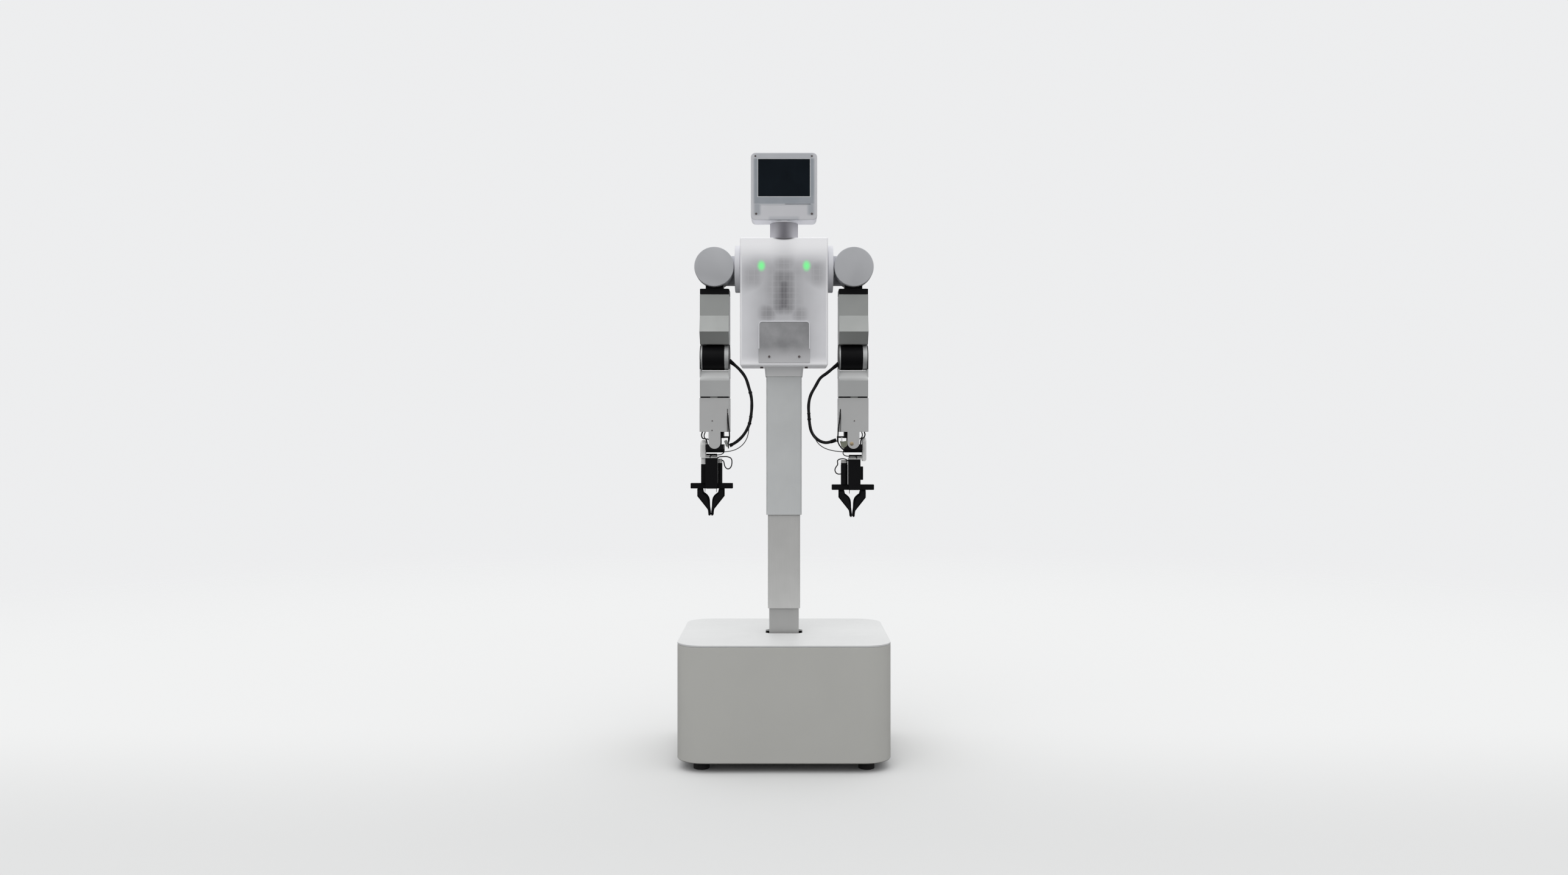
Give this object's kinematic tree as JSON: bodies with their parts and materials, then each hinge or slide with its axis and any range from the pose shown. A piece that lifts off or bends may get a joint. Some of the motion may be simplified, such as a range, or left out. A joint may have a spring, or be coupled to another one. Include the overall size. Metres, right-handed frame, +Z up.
{
  "type": "two-armed service robot",
  "caption": "Floor-standing robot with a box base, telescoping rectangular lift column, translucent torso, display head and two jointed arms with parallel grippers.",
  "frame": {"origin": "on the floor under the middle of the base", "axes": "+Z up, the robot faces -Y, its left arm is on the +X side"},
  "size_m": [0.462, 0.4, 1.3565],
  "materials": {
    "base_paint": "satin light grey paint",
    "lid_paint": "satin off-white paint",
    "chassis_steel": "dark grey paint",
    "foot_rubber": "matt black rubber",
    "pack_plastic": "black moulded case",
    "drive_casting": "cast housing",
    "column_inner_metal": "satin anodised",
    "column_middle_metal": "satin anodised",
    "column_outer_metal": "satin anodised",
    "screw_steel": "turned steel",
    "fastener_steel": "socket screws",
    "glide_plastic": "black slide plastic",
    "spindle_metal": "drawn tube",
    "collar_plastic": "grey moulded trim",
    "frame_metal": "dark anodised",
    "torso_skin": "frosted translucent shell",
    "hatch_plastic": "frosted grey cover",
    "led_lens": "green status lamp",
    "circuit_board": "dark board and housing",
    "motor_black": "black motor casing",
    "neck_plastic": "grey tube",
    "head_skin": "frosted translucent shell",
    "bezel_plastic": "blue-grey frame",
    "screen_glass": "dark display glass",
    "flange_metal": "bead-blasted",
    "roll_motor_metal": "anodised motor casing",
    "drum_metal": "satin anodised",
    "hanger_black": "black bracket",
    "arm_paint": "satin folded casing",
    "forearm_metal": "satin machined bracket",
    "wrist_paint": "satin casing",
    "servo_black": "black servo case",
    "bracket_silver": "bright bracket",
    "gripper_black": "black gripper casing",
    "motor_can_black": "black motor can",
    "finger_black": "black moulded fingers",
    "harness_sleeve": "black cable sleeve",
    "wire_grey": "dark grey thin wire"
  },
  "bodies": {
    "base": {"base_shell": "base_paint", "base_lid": "lid_paint", "base_plate": "chassis_steel", "base_feet": "foot_rubber", "power_pack": "pack_plastic", "lift_drive": "drive_casting", "column_inner": "column_inner_metal", "lift_screw": "screw_steel"},
    "lift_stage": {"column_middle": "column_middle_metal", "glide_pads": "glide_plastic", "spindle_tube": "spindle_metal"},
    "torso": {"column_outer": "column_outer_metal", "lift_rod": "screw_steel", "column_collar": "collar_plastic", "torso_frame": "frame_metal", "torso_front_shell": "torso_skin", "torso_back_shell": "torso_skin", "chest_hatch": "hatch_plastic", "status_leds": "led_lens", "torso_screws": "fastener_steel", "control_boards": "circuit_board", "pitch_motors": "motor_black", "neck_post": "neck_plastic"},
    "head": {"head_shell": "head_skin", "head_bezel": "bezel_plastic", "display_panel": "screen_glass"},
    "right_shoulder": {"right_shoulder_flange": "flange_metal", "right_roll_motor": "roll_motor_metal"},
    "right_roll": {"right_roll_drum": "drum_metal", "right_arm_hanger": "hanger_black"},
    "right_upper_arm": {"right_upper_arm_shell": "arm_paint", "right_elbow_motor": "motor_black"},
    "right_forearm": {"right_forearm_bracket": "forearm_metal", "right_harness": "harness_sleeve"},
    "right_wrist": {"right_wrist_housing": "wrist_paint", "right_wrist_servo": "servo_black", "right_signal_wire": "wire_grey"},
    "right_knuckle": {"right_wrist_knuckle": "servo_black"},
    "right_hand": {"right_hand_bracket": "bracket_silver", "right_gripper_body": "gripper_black", "right_gripper_motor": "motor_can_black"},
    "right_finger_outer": {"right_finger_outer": "finger_black"},
    "right_finger_inner": {"right_finger_inner": "finger_black"},
    "left_shoulder": {"left_shoulder_flange": "flange_metal", "left_roll_motor": "roll_motor_metal"},
    "left_roll": {"left_roll_drum": "drum_metal", "left_arm_hanger": "hanger_black"},
    "left_upper_arm": {"left_upper_arm_shell": "arm_paint", "left_elbow_motor": "motor_black"},
    "left_forearm": {"left_forearm_bracket": "forearm_metal", "left_harness": "harness_sleeve"},
    "left_wrist": {"left_wrist_housing": "wrist_paint", "left_wrist_servo": "servo_black", "left_signal_wire": "wire_grey"},
    "left_knuckle": {"left_wrist_knuckle": "servo_black"},
    "left_hand": {"left_hand_bracket": "bracket_silver", "left_gripper_body": "gripper_black", "left_gripper_motor": "motor_can_black"},
    "left_finger_outer": {"left_finger_outer": "finger_black"},
    "left_finger_inner": {"left_finger_inner": "finger_black"}
  },
  "joints": [
    {"name": "lift_lower", "type": "slide", "parent": "base", "child": "lift_stage", "axis": [0, 0, 1], "range_m": [-0.125, 0.033]},
    {"name": "lift_upper", "type": "slide", "parent": "lift_stage", "child": "torso", "axis": [0, 0, 1], "range_m": [-0.125, 0.033]},
    {"name": "head_pan", "type": "hinge", "parent": "torso", "child": "head", "pos_m": [0, 0, 1.189], "axis": [0, 0, 1], "range_deg": [-90, 90]},
    {"name": "right_shoulder_pitch", "type": "hinge", "parent": "torso", "child": "right_shoulder", "pos_m": [-0.157, 0, 1.098], "axis": [-1, 0, 0], "range_deg": [-60, 170]},
    {"name": "right_shoulder_roll", "type": "hinge", "parent": "right_shoulder", "child": "right_roll", "pos_m": [-0.157, 0, 1.098], "axis": [0, 1, 0], "range_deg": [0, 110]},
    {"name": "right_upper_arm_yaw", "type": "hinge", "parent": "right_roll", "child": "right_upper_arm", "pos_m": [-0.157, 0, 1.0375], "axis": [0, 0, -1], "range_deg": [-90, 90]},
    {"name": "right_elbow", "type": "hinge", "parent": "right_upper_arm", "child": "right_forearm", "pos_m": [-0.157, 0, 0.896], "axis": [-1, 0, 0], "range_deg": [0, 90]},
    {"name": "right_forearm_roll", "type": "hinge", "parent": "right_forearm", "child": "right_wrist", "pos_m": [-0.157, 0, 0.805], "axis": [0, 0, -1], "range_deg": [-90, 90], "deforming": ["right_harness"]},
    {"name": "right_wrist_tilt", "type": "hinge", "parent": "right_wrist", "child": "right_knuckle", "pos_m": [-0.157, 0, 0.702], "axis": [0, 1, 0], "range_deg": [-28, 28], "deforming": ["right_signal_wire"]},
    {"name": "right_wrist_pitch", "type": "hinge", "parent": "right_knuckle", "child": "right_hand", "pos_m": [-0.157, 0, 0.69], "axis": [-1, 0, 0], "range_deg": [-25, 25]},
    {"name": "right_grip", "type": "slide", "parent": "right_hand", "child": "right_finger_outer", "axis": [-1, 0, 0], "range_m": [0, 0.016]},
    {"name": "right_grip_inner", "type": "slide", "parent": "right_hand", "child": "right_finger_inner", "axis": [1, 0, 0], "range_m": [0, 0.016]},
    {"name": "left_shoulder_pitch", "type": "hinge", "parent": "torso", "child": "left_shoulder", "pos_m": [0.157, 0, 1.098], "axis": [-1, 0, 0], "range_deg": [-60, 170]},
    {"name": "left_shoulder_roll", "type": "hinge", "parent": "left_shoulder", "child": "left_roll", "pos_m": [0.157, 0, 1.098], "axis": [0, -1, 0], "range_deg": [0, 110]},
    {"name": "left_upper_arm_yaw", "type": "hinge", "parent": "left_roll", "child": "left_upper_arm", "pos_m": [0.157, 0, 1.0375], "axis": [0, 0, 1], "range_deg": [-90, 90]},
    {"name": "left_elbow", "type": "hinge", "parent": "left_upper_arm", "child": "left_forearm", "pos_m": [0.157, 0, 0.896], "axis": [-1, 0, 0], "range_deg": [0, 90]},
    {"name": "left_forearm_roll", "type": "hinge", "parent": "left_forearm", "child": "left_wrist", "pos_m": [0.157, 0, 0.805], "axis": [0, 0, 1], "range_deg": [-90, 90], "deforming": ["left_harness"]},
    {"name": "left_wrist_tilt", "type": "hinge", "parent": "left_wrist", "child": "left_knuckle", "pos_m": [0.157, 0, 0.702], "axis": [0, -1, 0], "range_deg": [-28, 28], "deforming": ["left_signal_wire"]},
    {"name": "left_wrist_pitch", "type": "hinge", "parent": "left_knuckle", "child": "left_hand", "pos_m": [0.157, 0, 0.69], "axis": [-1, 0, 0], "range_deg": [-25, 25]},
    {"name": "left_grip", "type": "slide", "parent": "left_hand", "child": "left_finger_outer", "axis": [1, 0, 0], "range_m": [0, 0.016]},
    {"name": "left_grip_inner", "type": "slide", "parent": "left_hand", "child": "left_finger_inner", "axis": [-1, 0, 0], "range_m": [0, 0.016]}
  ],
  "couplings": [
    {"joint": "lift_upper", "follows": "lift_lower", "ratio": 1},
    {"joint": "right_grip_inner", "follows": "right_grip", "ratio": 1},
    {"joint": "left_grip_inner", "follows": "left_grip", "ratio": 1}
  ]
}
